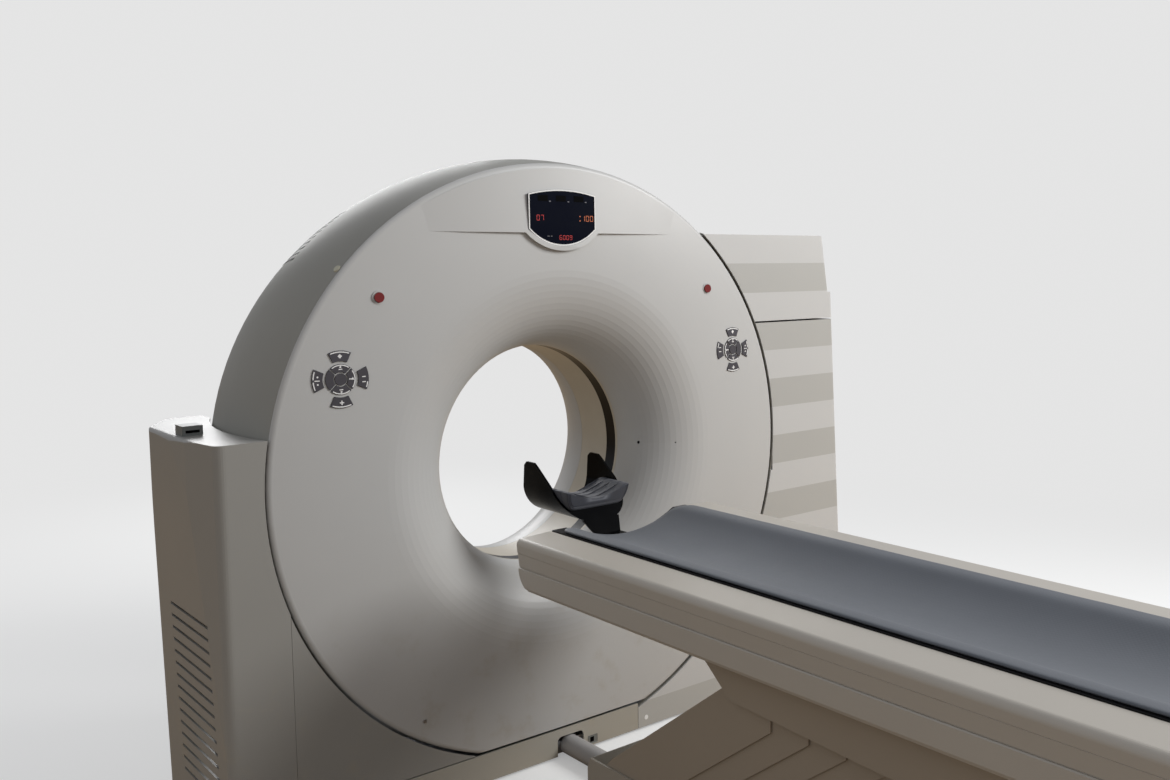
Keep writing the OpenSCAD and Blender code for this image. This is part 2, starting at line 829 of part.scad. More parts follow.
// Flat cover between the skirt, the tower and the tilting disc
module infill(x_from, z_from) {
    difference() {
        block([x_from, infill_x], [-panel_front, -panel_front + wall], [z_from, infill_top]);
        along_y(plate_r, -panel_front - 1, -panel_front + wall + 1, 0, iso_height);
    }
    block([infill_x - 66, infill_x - wall], [-panel_front + wall, -split_y + 25],
        [base_top, base_top + 90]);
}

module left_infill_cover() {
    color(cover_white) mirror([1, 0, 0]) infill(0, skirt_top + 4);
}

module right_infill_cover() {
    color(cover_white) infill(skirt_end + seam * 2, floor_line);
}

module rear_panel() {
    color(cover_white) {
        difference() {
            block([-infill_x, infill_x], [tower_rear - wall, tower_rear], [floor_line, infill_top]);
            swing_space();
            under_space();
        }
        both_sides() block([infill_x - 66, infill_x - wall], [tower_rear - 55, tower_rear - wall],
            [base_top, base_top + 60]);
    }
}

module under_space() {
    along_x(under_r + swing_gap, -ball_r, ball_r, 0, iso_height);
}

// Table

module cable_conduit() {
    color([0.7, 0.7, 0.72])
        along_y(conduit_r, -foot_front + face_gap, -split_y - face_gap, conduit_x, conduit_r + 2);
}

// Side view of a slanting plate about its lower pivot, level along +u before turning
module slant(pivot, length, width, below, above) {
    translate(pivot) rotate(180 - arm_angle) translate([-below, -width / 2])
        square([length + below + above, width]);
}

function lamella_y(i) = -pivot_y - (plate_below - lamella_plate / 2) / sin(arm_angle) - lamella_pitch * i;
rear_pivot = [lamella_y(5), pivot_z];
pivot_gap = arm_pivot[0] - rear_pivot[0];
function upper(p) = [p[0] - arm_length * cos(arm_angle), p[1] + arm_length * sin(arm_angle)];

module table_foot() {
    y_rear = -foot_front - foot_length;
    low_from = lamella_y(1) - arm_length * cos(low_angle);
    rail_top = pivot_z + 30;
    bore_end = pedestal_half - 20;
    color(cover_shade) difference() {
        union() {
            difference() {
                across(-pedestal_half, pedestal_half) polygon([[y_rear, 0], [-foot_front, 0],
                    [-foot_front, foot_top - 30], [-foot_front - 12, foot_top],
                    [low_from + 60, foot_top], [low_from + 20, foot_low], [y_rear, foot_low]]);
                block([-pedestal_half + wall, pedestal_half - wall],
                    [y_rear + wall, -foot_front - wall - 8], [foot_plate, foot_top + 1]);
            }
            both_sides() across(rail_in, rail_in + rail_t)
                polygon([[rear_pivot[0] - 60, foot_plate - 1], [-pivot_y + 50, foot_plate - 1],
                    [-pivot_y + 40, rail_top], [rear_pivot[0] - 40, rail_top]]);
        }
        for (p = [arm_pivot, rear_pivot])
            along_x(shaft_r + run_gap, -bore_end, bore_end, p[0], p[1]);
        for (i = [1 : 4])
            along_x(pin_r + run_gap, -bore_end, bore_end, lamella_y(i), pivot_z);
    }
}

module lift_motor() {
    motor_r = 70;
    motor_x = [-60, 120];
    motor_y = -pivot_y - 190;
    motor_z = 90;
    cradle_half = 60;
    color([0.25, 0.27, 0.3]) {
        along_x(motor_r, motor_x[0], motor_x[1], motor_y, motor_z);
        block(motor_x, [motor_y - cradle_half, motor_y + cradle_half], [foot_plate, motor_z]);
    }
}

// Structural arm: two box arms on a shaft at each end. Each has a saddle over the other arm's
// shaft, which it meets at the lowest table height.
module arm(pivot, x_in, shaft_end, saddle_u, saddle_side) {
    top = upper(pivot);
    boss_r = arm_depth / 2 + 4;
    reach = pivot_gap * sin(low_angle) - shaft_r - 3;
    color(steel) {
        both_sides() difference() {
            across(x_in, x_in + arm_width) difference() {
                union() {
                    slant(pivot, arm_length, arm_depth, 0, 0);
                    translate(pivot) circle(r = boss_r, $fn = fine);
                    translate(top) circle(r = boss_r, $fn = fine);
                }
                translate(pivot) rotate(180 - arm_angle)
                    translate([saddle_u, saddle_side * (reach + arm_depth / 2)])
                        square([2 * shaft_r + 8, arm_depth], center = true);
            }
            along_x(shaft_r, x_in - 1, x_in + arm_width + 1, pivot[0], pivot[1]);
            along_x(shaft_r, x_in - 1, x_in + arm_width + 1, top[0], top[1]);
        }
        along_x(shaft_r, -shaft_end, shaft_end, pivot[0], pivot[1]);
        along_x(shaft_r, -carrier_rail_in - rail_t - 2, carrier_rail_in + rail_t + 2, top[0], top[1]);
    }
}

// A pair of side plates in one layer, drawn along the arm from its lower pivot
module side_plates(pivot, above, below, layer, corner) {
    x_out = side_plate_out - layer * plate_step;
    rise_u = corner_rise * sin(arm_angle);
    rise_v = corner_rise * cos(arm_angle);
    end_u = max(arm_length + end_past, corner + rise_u);
    both_sides() across(x_out - plate_t, x_out) translate(pivot) rotate(180 - arm_angle) union() {
        hull() {
            circle(r = heel_r, $fn = fine);
            translate([60, -above]) square([1, above + below]);
        }
        polygon([[60, -above], [end_u, -above], [end_u, below - rise_v],
            [corner + rise_u, below - rise_v], [corner, below], [60, below]]);
    }
}

module front_arm() {
    arm(arm_pivot, rail_in - arm_width - 10, side_plate_out - plate_t - face_gap,
        pivot_gap * cos(low_angle), 1);
}

module front_arm_cover() {
    color(cover_shade) side_plates(arm_pivot, plate_above, plate_below, 0, plate_corner);
}

// Its lower pin turns in the foot rail and its upper pin in the cheek of the carrier frame
module lamella(i) {
    pivot = [lamella_y(i), pivot_z];
    top = upper(pivot);
    x_out = side_plate_out - i * plate_step;
    color(cover_shade) both_sides() {
        along_x(pin_r, rail_in - 1, x_out - 1, pivot[0], pivot[1]);
        along_x(pin_r, x_out - 1, cheek_in + cheek_t - 2, top[0], top[1]);
    }
    color(cover_shade) side_plates(pivot, lamella_plate / 2, lamella_plate / 2, i, lamella_corner);
}

module rear_arm() {
    arm(rear_pivot, rail_in - 2 * arm_width - 20, side_plate_out - 5 * plate_step - 1,
        arm_length - pivot_gap * cos(low_angle), -1);
    color(cover_shade)
        side_plates(rear_pivot, lamella_plate / 2, lamella_plate / 2, 5, lamella_corner);
}

// Half outline of the table top housing in x and z, from below outwards and up to the inner edge
function housing_half() =
    let (tray = top_half - 4, neck = top_half - 7, edge_z = top_z - top_fall - top_edge_r)
    concat([[tray - 12, top_under], [tray - 4, top_under + 4], [tray, top_under + 12],
        [tray, tray_seam_z - 3], [tray - 3, tray_seam_z - 1], [neck - 3, tray_seam_z - 1],
        [neck - 3, tray_seam_z + 1], [neck, tray_seam_z + 2], [top_half - 3, fine_seam_z - 1],
        [top_half - 4, fine_seam_z], [top_half - 2, fine_seam_z + 1]],
        [for (p = arc(top_edge_r, 0, 90, 8)) [top_half - top_edge_r + p[0], edge_z + p[1]]]);

module carrier_shell() {
    y_rear = -top_front - top_length;
    inner_x = board_half + 4;
    outline = concat(housing_half(), [[inner_x, top_z], [inner_x, deck_z], [-inner_x, deck_z],
        [-inner_x, top_z]], reversed([for (p = housing_half()) [-p[0], p[1]]]));
    corner_z = 60;
    corner_y = 68;
    opening_y = -foot_front - 450;
    nose = 130;
    color(cover_white) difference() {
        intersection() {
            through_face(y_rear, -top_front) polygon(outline);
            across(-top_half - 1, top_half + 1) polygon(concat(
                [[y_rear, top_z + 1], [y_rear, top_under - 1]],
                [for (a = [0 : 10 : 90]) [-top_front - corner_y + corner_y * sin(a),
                    top_under + corner_z - corner_z * cos(a)]],
                [[-top_front, top_z - 14], [-top_front - 4, top_z + 1]]));
        }
        block([-pocket_half, pocket_half], [y_rear + wall, opening_y], [top_under - 1, deck_under]);
        block([-pocket_half, pocket_half], [opening_y - 1, -top_front - nose],
            [top_under + wall, deck_under]);
    }
}

// Upper pivots and the fairing under the table top, open towards the gantry for the arms
module carrier_frame() {
    y_front = -foot_front - 467;
    y_rear = -top_front - top_length + 250;
    rail_front = upper(arm_pivot)[0] + 40;
    rail_rear = upper(rear_pivot)[0] - 40;
    rail_low = upper(arm_pivot)[1] - 28;
    rail = [carrier_rail_in, carrier_rail_in + rail_t];
    tie_rear = rail_rear - 150;
    tie_t = 12;
    color(cover_shade) difference() {
        union() {
            both_sides() across(cheek_in, cheek_in + cheek_t) polygon([[y_front, top_under + 20],
                [y_front, top_under], [y_front - 106, fairing_low + 24], [y_front - 122, fairing_low + 20],
                [y_front - 557, fairing_low], [y_rear, fairing_low], [y_rear, top_under + 20]]);
            block([-cheek_in, cheek_in], [y_rear, y_rear + wall], [fairing_low, top_under]);
            block([-cheek_in, cheek_in], [y_rear, tie_rear], [fairing_low, fairing_low + wall]);
            both_sides() {
                block(rail, [rail_rear, rail_front], [rail_low, deck_under]);
                block([carrier_rail_in, pocket_half], [rail_rear, rail_front],
                    [deck_under - tie_t, deck_under]);
                block([carrier_rail_in, cheek_in + 2], [tie_rear, rail_rear],
                    [top_under - tie_t, top_under]);
                block(rail, [tie_rear, rail_rear + 1], [top_under - tie_t, deck_under]);
            }
        }
        along_x(shaft_r + run_gap, -cheek_in, cheek_in, upper(arm_pivot)[0], upper(arm_pivot)[1]);
        along_x(shaft_r + free_gap, -cheek_in, cheek_in, upper(rear_pivot)[0], upper(rear_pivot)[1]);
        for (i = [1 : 4]) let (top = upper([lamella_y(i), pivot_z]))
            both_sides() along_x(pin_r + free_gap, cheek_in - 1, cheek_in + cheek_t - 1.5, top[0], top[1]);
    }
}

// Cross section of the hollow board or of the mattress: a dish with a level rim on each side
module dish_section(half, r_in, r_out, top, rim) {
    difference() {
        union() {
            intersection() {
                translate([0, hollow_centre]) circle(r = r_out, $fn = extra_fine);
                translate([-half, board_under - 1]) square([2 * half, top - board_under + 1]);
            }
            translate([-half, top - rim]) square([2 * half, rim]);
        }
        translate([0, hollow_centre]) circle(r = r_in, $fn = extra_fine);
    }
}

module patient_board() {
    color([0.12, 0.12, 0.13]) through_face(-board_front - board_length, -board_front)
        dish_section(board_half, hollow_r, hollow_r + board_t, board_top, rim_t);
}

module mattress() {
    cloth_r = hollow_r - face_gap;
    color([0.42, 0.45, 0.5]) through_face(-board_front - board_length + 40, -board_front - 8)
        dish_section(mattress_half, cloth_r - mattress_t, cloth_r, board_top + face_gap + mattress_t,
            mattress_t);
}

// Section of the head holder: a level bottom with rounded edges, and upright wings
module holder_section(in) {
    centre_x = holder_half - holder_edge_r;
    centre_z = holder_bottom + holder_edge_r;
    for (x = [-centre_x, centre_x])
        translate([x, centre_z]) circle(r = holder_edge_r - in, $fn = fine);
    translate([-centre_x, holder_bottom + in]) square([2 * centre_x, holder_edge_r]);
    translate([in - holder_half, centre_z]) square([2 * (holder_half - in), 200]);
}

// Foot of the slanting panel, where it meets the tongue
function panel_foot(in) = [-panel_end - 60 + in, board_under + 16];

module head_holder() {
    strip = 9;
    color([0.06, 0.06, 0.07]) {
        intersection() {
            through_face(-panel_end - 30, -holder_end) difference() {
                holder_section(0);
                holder_section(holder_wall);
            }
            across(-holder_half - 1, holder_half + 1) polygon([panel_foot(0), [-holder_end - 5, 700],
                [-holder_end, wing_top - 85], [-holder_end - 7, wing_top - 12],
                [-holder_end - 20, wing_top], [-holder_end - 61, wing_top],
                [-holder_end - 77, wing_top - 10], [-wing_foot, 904], [-panel_end, panel_top]]);
        }
        intersection() {
            across(-holder_half - 1, holder_half + 1) polygon([[-board_front, board_under + 2],
                [-board_front, board_under + 16], panel_foot(0), [-panel_end, panel_top],
                [strip - panel_end, panel_top], panel_foot(strip), panel_foot(strip) - [0, 14]]);
            through_face(-board_front, -panel_end + strip) union() {
                intersection() {
                    holder_section(0);
                    translate([-holder_half, holder_bottom]) square([2 * holder_half, 100]);
                }
                polygon([[-tongue_half, board_under], [tongue_half, board_under],
                    [tongue_half, board_under + 16], [tongue_half + 20, holder_bottom + 3],
                    [-tongue_half - 20, holder_bottom + 3], [-tongue_half, board_under + 16]]);
            }
        }
    }
}

module head_pad() {
    gap = face_gap + 0.4;
    floor_z = holder_bottom + holder_wall + gap;
    slope = 60 / (panel_top - board_under - 16);
    color([0.4, 0.42, 0.44]) intersection() {
        through_face(-panel_end - 20, -pad_end) difference() {
            holder_section(holder_wall + face_gap);
            translate([0, pad_low + head_r]) circle(r = head_r, $fn = extra_fine);
        }
        across(-holder_half, holder_half) polygon([[-pad_end + 1, floor_z],
            [9 + gap - panel_end - (panel_top - floor_z) * slope, floor_z],
            [9 + gap - panel_end, panel_top + gap], [-panel_end - 1, panel_top + gap],
            [-panel_end - 17, pad_top], [-pad_end + 1, pad_top]]);
    }
}

base_frame();
levelling_feet();
mirror([1, 0, 0]) stand();  // left_stand
stand();  // right_stand
tilt_motor();
base_skirts();
left_tower_cover();
right_tower_cover();
right_tower_head();
left_infill_cover();
right_infill_cover();
rear_panel();
cable_conduit();
table_foot();
lift_motor();
tilt_frame();
front_cover();
rear_cover();
rim_cover();
bore_liner();
scan_window();
display_window();
main_bearing();
rotor_disc();
tube_housing();
detector_arc();
generator();
front_arm();
front_arm_cover();
for (i = [1 : 4])
    lamella(i);
rear_arm();
carrier_frame();
carrier_shell();
patient_board();
mattress();
head_holder();
head_pad();
for (s = [[-1, "left"], [1, "right"]]) {
    stop_button(s[0]);
    key(s[0], "centre", 0);
    for (k = [1 : 4]) {
        key(s[0], "ring", k);
        key(s[0], "outer", k);
    }
}
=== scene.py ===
import json
import math

import bmesh
import bpy
from mathutils import Matrix, Vector, noise


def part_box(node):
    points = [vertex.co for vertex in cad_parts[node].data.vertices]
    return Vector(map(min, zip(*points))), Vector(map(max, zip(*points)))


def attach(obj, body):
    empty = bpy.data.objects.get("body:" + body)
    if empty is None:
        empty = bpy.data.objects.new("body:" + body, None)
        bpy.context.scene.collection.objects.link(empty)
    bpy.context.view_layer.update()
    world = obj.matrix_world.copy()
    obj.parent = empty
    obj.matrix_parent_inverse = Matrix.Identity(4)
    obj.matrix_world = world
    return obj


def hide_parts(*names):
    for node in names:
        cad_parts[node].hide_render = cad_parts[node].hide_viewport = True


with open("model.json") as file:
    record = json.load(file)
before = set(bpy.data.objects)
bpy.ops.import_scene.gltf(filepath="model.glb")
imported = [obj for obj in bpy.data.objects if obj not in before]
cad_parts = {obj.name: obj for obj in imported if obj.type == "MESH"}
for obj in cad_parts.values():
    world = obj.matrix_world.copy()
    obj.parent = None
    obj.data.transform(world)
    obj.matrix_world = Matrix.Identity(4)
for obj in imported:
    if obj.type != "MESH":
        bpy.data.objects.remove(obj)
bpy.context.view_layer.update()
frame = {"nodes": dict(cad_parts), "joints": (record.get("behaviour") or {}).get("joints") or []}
nodes = frame["nodes"]
joints = {joint["name"]: joint for joint in frame["joints"]}
print("frame loaded:", len(nodes), "nodes")

# The places that the looks share with the frame, in metres
isoHeight = joints["gantry_tilt"]["pos_m"][2]
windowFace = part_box("display_window")[0].y
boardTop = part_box("patient_board")[1].z
mattressLow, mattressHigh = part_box("mattress")


# Shader maths: a value in a material's node tree

class Wire:
    def __init__(self, sheet, socket):
        self.sheet = sheet
        self.socket = socket

    def math(self, operation, *others):
        return self.sheet.add("Math", {"operation": operation}, dict(enumerate((self, *others))))

    def __add__(self, other):
        return self.math("ADD", other)

    def __rsub__(self, other):
        return self.sheet.add("Math", {"operation": "SUBTRACT"}, {0: other, 1: self})

    def __mul__(self, other):
        return self.math("MULTIPLY", other)

    def __truediv__(self, other):
        return self.math("DIVIDE", other)

    def __lt__(self, other):
        return self.math("LESS_THAN", other)

    def part(self, output):
        return Wire(self.sheet, self.socket.node.outputs[output])


look = {}                                      # every material made here, by name


class Finish:
    def __init__(self, name, **settings):
        material = bpy.data.materials.new(name)
        material.use_nodes = True
        self.tree = material.node_tree
        self.shader = self.tree.nodes["Principled BSDF"]
        for socket, value in settings.items():
            self.set(socket.replace("_", " "), value)
        self.place = self.add("TexCoord", {}, {}).part("Object")
        look[name] = material

    def add(self, kind, settings, sockets):
        node = self.tree.nodes.new("ShaderNode" + kind)
        for key, value in settings.items():
            setattr(node, key, value)
        for key, value in sockets.items():
            self.join(node.inputs[key], value)
        return Wire(self, node.outputs[0])

    def join(self, socket, value):             # a link, a colour or a number
        if isinstance(value, Wire):
            self.tree.links.new(value.socket, socket)
        elif hasattr(value, "__len__") and len(value) == 3 and len(socket.default_value) == 4:
            socket.default_value = (*value, 1)
        else:
            socket.default_value = value

    def set(self, name, value):
        self.join(self.shader.inputs[name], value)

    def axes(self):
        split = self.add("SeparateXYZ", {}, {0: self.place})
        return split.part("X"), split.part("Y"), split.part("Z")

    def noise(self, scale, detail, rough=0.5):
        return self.add("TexNoise", {}, {"Vector": self.place, "Scale": scale, "Detail": detail,
                                         "Roughness": rough})

    def ramp(self, value, low, high):          # 0 below low, 1 above high, smooth between
        return self.add("MapRange", {"interpolation_type": "SMOOTHSTEP"}, {0: value, 1: low, 2: high})

    def mix(self, factor, first, second):      # 6, 7 and 2 are the node's colour sockets
        return self.add("Mix", {"data_type": "RGBA"}, {0: factor, 6: first, 7: second}).part(2)

    def vary(self, roughness, cloud, change):  # half the change to either side
        self.set("Roughness", cloud * change + (roughness - change / 2))

    def bump(self, height, strength, distance):
        self.set("Normal", self.add("Bump", {}, {"Height": height, "Strength": strength,
                                                 "Distance": distance}))


def darker(colour, share):
    return [part * share for part in colour]


enamel = {"coat": 0.08, "coatRoughness": 0.25, "cloud": (2.4, 3, 0.6), "change": 0.12,
          "peel": (260, 2, 0.5), "peelHeight": 0.4, "strength": 0.12, "relief": 0.0006}


def paint(name, colour, roughness=0.42, depth=0.92, stripes=None, lowShade=None):
    finish = Finish(name, Roughness=roughness, Coat_Weight=enamel["coat"],
                    Coat_Roughness=enamel["coatRoughness"])
    y, z = finish.axes()[1:]
    cloud = finish.noise(*enamel["cloud"])
    body = finish.mix(cloud, colour, darker(colour, depth))
    if stripes:
        band = ((stripes["top"] - z) / (stripes["pitch"] * 2)).math("FRACT")
        front = (band < 0.5) * (y < stripes["face"])
        body = finish.mix(front, body, stripes["colour"])
    if lowShade:                                  # painted shade: a brownish darkening in patches towards the bottom
        shadePatch = finish.ramp(finish.noise(*lowShade["spots"]), *lowShade["between"])
        low = 1 - finish.ramp(z, lowShade["low"], lowShade["high"])
        body = finish.mix(low * shadePatch * lowShade["amount"], body, lowShade["colour"])
    finish.set("Base Color", body)
    finish.vary(roughness, cloud, enamel["change"])
    finish.bump(finish.noise(*enamel["peel"]) * enamel["peelHeight"], enamel["strength"], enamel["relief"])


moulding = {"cloud": (14, 3, 0.6), "change": 0.14, "grain": (300, 2, 0.5), "relief": 0.0005}


def plastic(name, colour, roughness, spread=0.85, strength=0.1, **settings):
    finish = Finish(name, **settings)
    cloud = finish.noise(*moulding["cloud"])
    finish.set("Base Color", finish.mix(cloud, colour, darker(colour, spread)))
    finish.vary(roughness, cloud, moulding["change"])
    finish.bump(finish.noise(*moulding["grain"]), strength, moulding["relief"])


scratches = {"metallic": 0.9, "detail": 4, "rough": 0.7, "depth": 0.8, "change": 0.2, "strength": 0.08,
             "relief": 0.0004}


def metal(name, colour, roughness, scale):
    finish = Finish(name, Metallic=scratches["metallic"])
    scratch = finish.noise(scale, scratches["detail"], scratches["rough"])
    finish.set("Base Color", finish.mix(scratch, colour, darker(colour, scratches["depth"])))
    finish.vary(roughness, scratch, scratches["change"])
    finish.bump(scratch, scratches["strength"], scratches["relief"])


cloth = {"sheen": 0.15, "sheenRoughness": 0.5, "cloud": (3.5, 4, 0.6), "cloudShare": 0.7,
         "fine": (90, 3, 0.6), "fineShare": 0.3, "change": 0.16, "weaveHeight": 0.5, "strength": 0.16,
         "relief": 0.0006}


def coatedCloth(name, colour, light, weave, roughness):
    finish = Finish(name, Sheen_Weight=cloth["sheen"], Sheen_Roughness=cloth["sheenRoughness"])
    x, y = finish.axes()[:2]
    warp = (x * weave).math("SINE") * (y * weave).math("SINE")
    cloud = finish.noise(*cloth["cloud"])
    fine = finish.noise(*cloth["fine"])
    mottle = cloud * cloth["cloudShare"] + fine * cloth["fineShare"]
    finish.set("Base Color", finish.mix(mottle, colour, light))
    finish.vary(roughness, fine, cloth["change"])
    finish.bump(warp * cloth["weaveHeight"] + fine, cloth["strength"], cloth["relief"])


figureGlow = {"roughness": 0.5, "strength": 0.42, "flicker": (300, 1), "off": 0.8, "dim": 0.85}


def glow(name, colour):
    finish = Finish(name, Roughness=figureGlow["roughness"], Emission_Strength=figureGlow["strength"])
    flicker = finish.noise(*figureGlow["flicker"])
    finish.set("Base Color", finish.mix(flicker, colour, darker(colour, figureGlow["off"])))
    finish.set("Emission Color", finish.mix(flicker, colour, darker(colour, figureGlow["dim"])))


print("materials")
towerBand = {"top": 1.565, "pitch": 0.105, "face": -0.2, "colour": (0.44, 0.437, 0.415)}
# painted shade: a brownish darkening in patches on the lower parts, for shade and the floor's warm bounce
lowPaintedShade = {"spots": (9, 5, 0.65), "between": (0.52, 0.72), "low": 0.25, "high": 0.75, "amount": 0.35,
              "colour": (0.38, 0.34, 0.27)}
paint("gantryPaint", (0.53, 0.53, 0.52), lowShade=lowPaintedShade)
# rim cover: a greyer, browner copy of the front cover's paint, partly its own colour and partly painted
# shade
paint("rimPaintAndShade", (0.32, 0.315, 0.285), roughness=0.58, depth=0.88, lowShade=lowPaintedShade)
paint("towerPaint", (0.33, 0.322, 0.30), lowShade=lowPaintedShade)
paint("stripedPaint", (0.57, 0.57, 0.56), stripes=towerBand)
paint("skirtPaint", (0.41, 0.39, 0.34), lowShade=lowPaintedShade)
paint("tablePaint", (0.51, 0.475, 0.42), roughness=0.36)
# pedestal, arms, fairing and lamellae: their pale paint darkened and browned as painted shade and warm
# floor bounce
paint("pedestalPaintAndShade", (0.365, 0.31, 0.245), roughness=0.45)
paint("footPaint", (0.38, 0.345, 0.29), roughness=0.45)
plastic("conduitGrey", (0.40, 0.39, 0.385), roughness=0.38, spread=0.9)
plastic("linerBeige", (0.56, 0.51, 0.42), roughness=0.4, spread=0.9)
plastic("windowBlack", (0.003, 0.003, 0.004), roughness=0.3, spread=0.8, strength=0.02,
        Specular_IOR_Level=0.2)
plastic("displayGlass", (0.003, 0.0045, 0.012), roughness=0.2, spread=0.8, strength=0.01,
        Specular_IOR_Level=0.07)
plastic("carbonBlack", (0.012, 0.012, 0.014), roughness=0.3, spread=0.7)
plastic("holderBlack", (0.0015, 0.0015, 0.002), roughness=0.22, spread=0.8, strength=0.02,
        Specular_IOR_Level=0.05)
plastic("keyGrey", (0.075, 0.072, 0.085), roughness=0.32, spread=0.75, Coat_Weight=0.3)
metal("keyRim", (0.55, 0.55, 0.58), roughness=0.3, scale=90)
plastic("printWhite", (0.85, 0.85, 0.84), roughness=0.4, spread=0.97, strength=0.02)
plastic("stopRed", (0.20, 0.012, 0.012), roughness=0.25, spread=0.8, Coat_Weight=0.4)
metal("frameSteel", (0.42, 0.43, 0.45), roughness=0.5, scale=40)
metal("bearingSteel", (0.6, 0.6, 0.62), roughness=0.28, scale=120)
plastic("rubberBlack", (0.02, 0.02, 0.02), roughness=0.7, spread=0.7)
plastic("motorBlack", (0.03, 0.03, 0.033), roughness=0.5, spread=0.8)
plastic("tubeEnamel", (0.5, 0.46, 0.36), roughness=0.4)
plastic("generatorBlue", (0.10, 0.14, 0.22), roughness=0.4)
coatedCloth("mattressBlue", (0.070, 0.079, 0.095), (0.110, 0.122, 0.143), weave=620, roughness=0.55)
coatedCloth("padGrey", (0.036, 0.039, 0.052), (0.060, 0.064, 0.079), weave=900, roughness=0.6)
glow("digitRed", (0.45, 0.015, 0.012))
glow("digitOrange", (0.50, 0.12, 0.03))
plastic("labelGrey", (0.16, 0.16, 0.18), roughness=0.5, strength=0.02)
# dark print on the display, and painted shade in the small holes and slots of the covers
plastic("darkPrintAndHoleShade", (0.0015, 0.0015, 0.002), roughness=0.6, spread=0.8, Specular_IOR_Level=0.03)
# painted shade: the dark inside the rim vent's slots
plastic("louvreSlotShade", (0.03, 0.03, 0.028), roughness=0.6, spread=0.7)
plastic("capYellow", (0.56, 0.54, 0.42), roughness=0.4)
plastic("socketGrey", (0.20, 0.21, 0.20), roughness=0.45, spread=0.8)

lamellae = [name for name in nodes if name.startswith("lamella_")]
wearing = {
    "gantryPaint": ["front_cover", "rear_cover"],
    "rimPaintAndShade": ["rim_cover"],
    "towerPaint": ["left_tower_cover", "left_infill_cover", "rear_panel"],
    "stripedPaint": ["right_tower_cover", "right_tower_head", "right_infill_cover"],
    "skirtPaint": ["base_skirts"],
    "tablePaint": ["carrier_shell"],
    "pedestalPaintAndShade": ["front_arm_cover", "rear_arm", "carrier_frame"] + lamellae,
    "footPaint": ["table_foot"],
    "conduitGrey": ["cable_conduit"],
    "linerBeige": ["bore_liner"],
    "windowBlack": ["scan_window"],
    "displayGlass": ["display_window"],
    "carbonBlack": ["patient_board"],
    "holderBlack": ["head_holder"],
    "stopRed": ["left_stop_button", "right_stop_button"],
    "frameSteel": ["base_frame", "left_stand", "right_stand", "tilt_frame", "rotor_disc", "front_arm"],
    "bearingSteel": ["main_bearing"],
    "rubberBlack": ["levelling_feet"],
    "motorBlack": ["tilt_motor", "lift_motor", "detector_arc"],
    "tubeEnamel": ["tube_housing"],
    "generatorBlue": ["generator"],
    "mattressBlue": ["mattress"],
    "padGrey": ["head_pad"],
    "keyGrey": [name for name in nodes if "_key_" in name],
}
for finishName, names in wearing.items():
    for name in names:
        nodes[name].data.materials.clear()
        nodes[name].data.materials.append(look[finishName])

creaseAngle = 24                               # faces that meet at a wider angle keep a crisp edge


def shadeByAngle():
    tree = bpy.data.node_groups.new("shadeByAngle", "GeometryNodeTree")
    tree.interface.new_socket("Geometry", in_out="INPUT", socket_type="NodeSocketGeometry")
    tree.interface.new_socket("Geometry", in_out="OUTPUT", socket_type="NodeSocketGeometry")
    entry = tree.nodes.new("NodeGroupInput")
    leave = tree.nodes.new("NodeGroupOutput")
    angle = tree.nodes.new("GeometryNodeInputMeshEdgeAngle")
    sharp = tree.nodes.new("FunctionNodeCompare")
    sharp.operation = "GREATER_THAN"
    sharp.inputs[1].default_value = math.radians(creaseAngle)
    shade = tree.nodes.new("GeometryNodeSetMeshNormal")
    shade.mode = "SHARPNESS"
    shade.inputs["Remove Custom"].default_value = True
    tree.links.new(angle.outputs["Unsigned Angle"], sharp.inputs[0])
    tree.links.new(entry.outputs[0], shade.inputs["Mesh"])
    tree.links.new(sharp.outputs[0], shade.inputs["Edge Sharpness"])
    tree.links.new(shade.outputs["Mesh"], leave.inputs[0])
    return tree


smoothing = shadeByAngle()
for node in nodes.values():
    node.modifiers.new("shade", "NODES").node_group = smoothing


# Pieces made here

def finishMesh(bm, name, material, body, smooth=False):
    bmesh.ops.recalc_face_normals(bm, faces=bm.faces)
    mesh = bpy.data.meshes.new(name)
    bm.to_mesh(mesh)
    bm.free()
    for polygon in mesh.polygons:
        polygon.use_smooth = smooth
    mesh.materials.append(look[material])
    piece = bpy.data.objects.new(name, mesh)
    bpy.context.scene.collection.objects.link(piece)
    if body:
        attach(piece, body)
    return piece


def unitGrid(bm, across=1, along=1):           # the verts of a flat grid, from -0.5 to 0.5 each way
    return bmesh.ops.create_grid(bm, x_segments=across, y_segments=along, size=0.5)["verts"]


cover = {"front": 0.225, "bulge": 0.015, "crease": 0.899, "funnel": 0.590}


def coverFront(x, z):                          # distance of the front cover from the scan plane
    radius = math.hypot(x, z - isoHeight)
    across = (radius - cover["funnel"]) / (cover["crease"] - cover["funnel"])
    return cover["front"] + cover["bulge"] * (1 - across ** 2)


print("key prints")
keypad = {"x": 0.712, "z": 1.264, "rise": 0.003, "proud": 0.00025, "thick": 0.0006, "arcSteps": 10}


def thicken(bm, thick):
    made = bmesh.ops.extrude_face_region(bm, geom=bm.faces[:])
    moved = [item for item in made["geom"] if isinstance(item, bmesh.types.BMVert)]
    bmesh.ops.translate(bm, verts=moved, vec=(0, thick, 0))


def keyAxes(angle):                            # outwards from the keypad's middle, and across that
    out = Vector((math.cos(angle), 0, math.sin(angle)))
    return out, Vector((-out.z, 0, out.x))


def arcPrint(bm, middle, radius, width, half, turn=0.0):
    for vert in unitGrid(bm, keypad["arcSteps"]):
        out = keyAxes(math.radians(middle + turn + 2 * half * vert.co.x))[0]
        vert.co = out * (radius + width * vert.co.y)


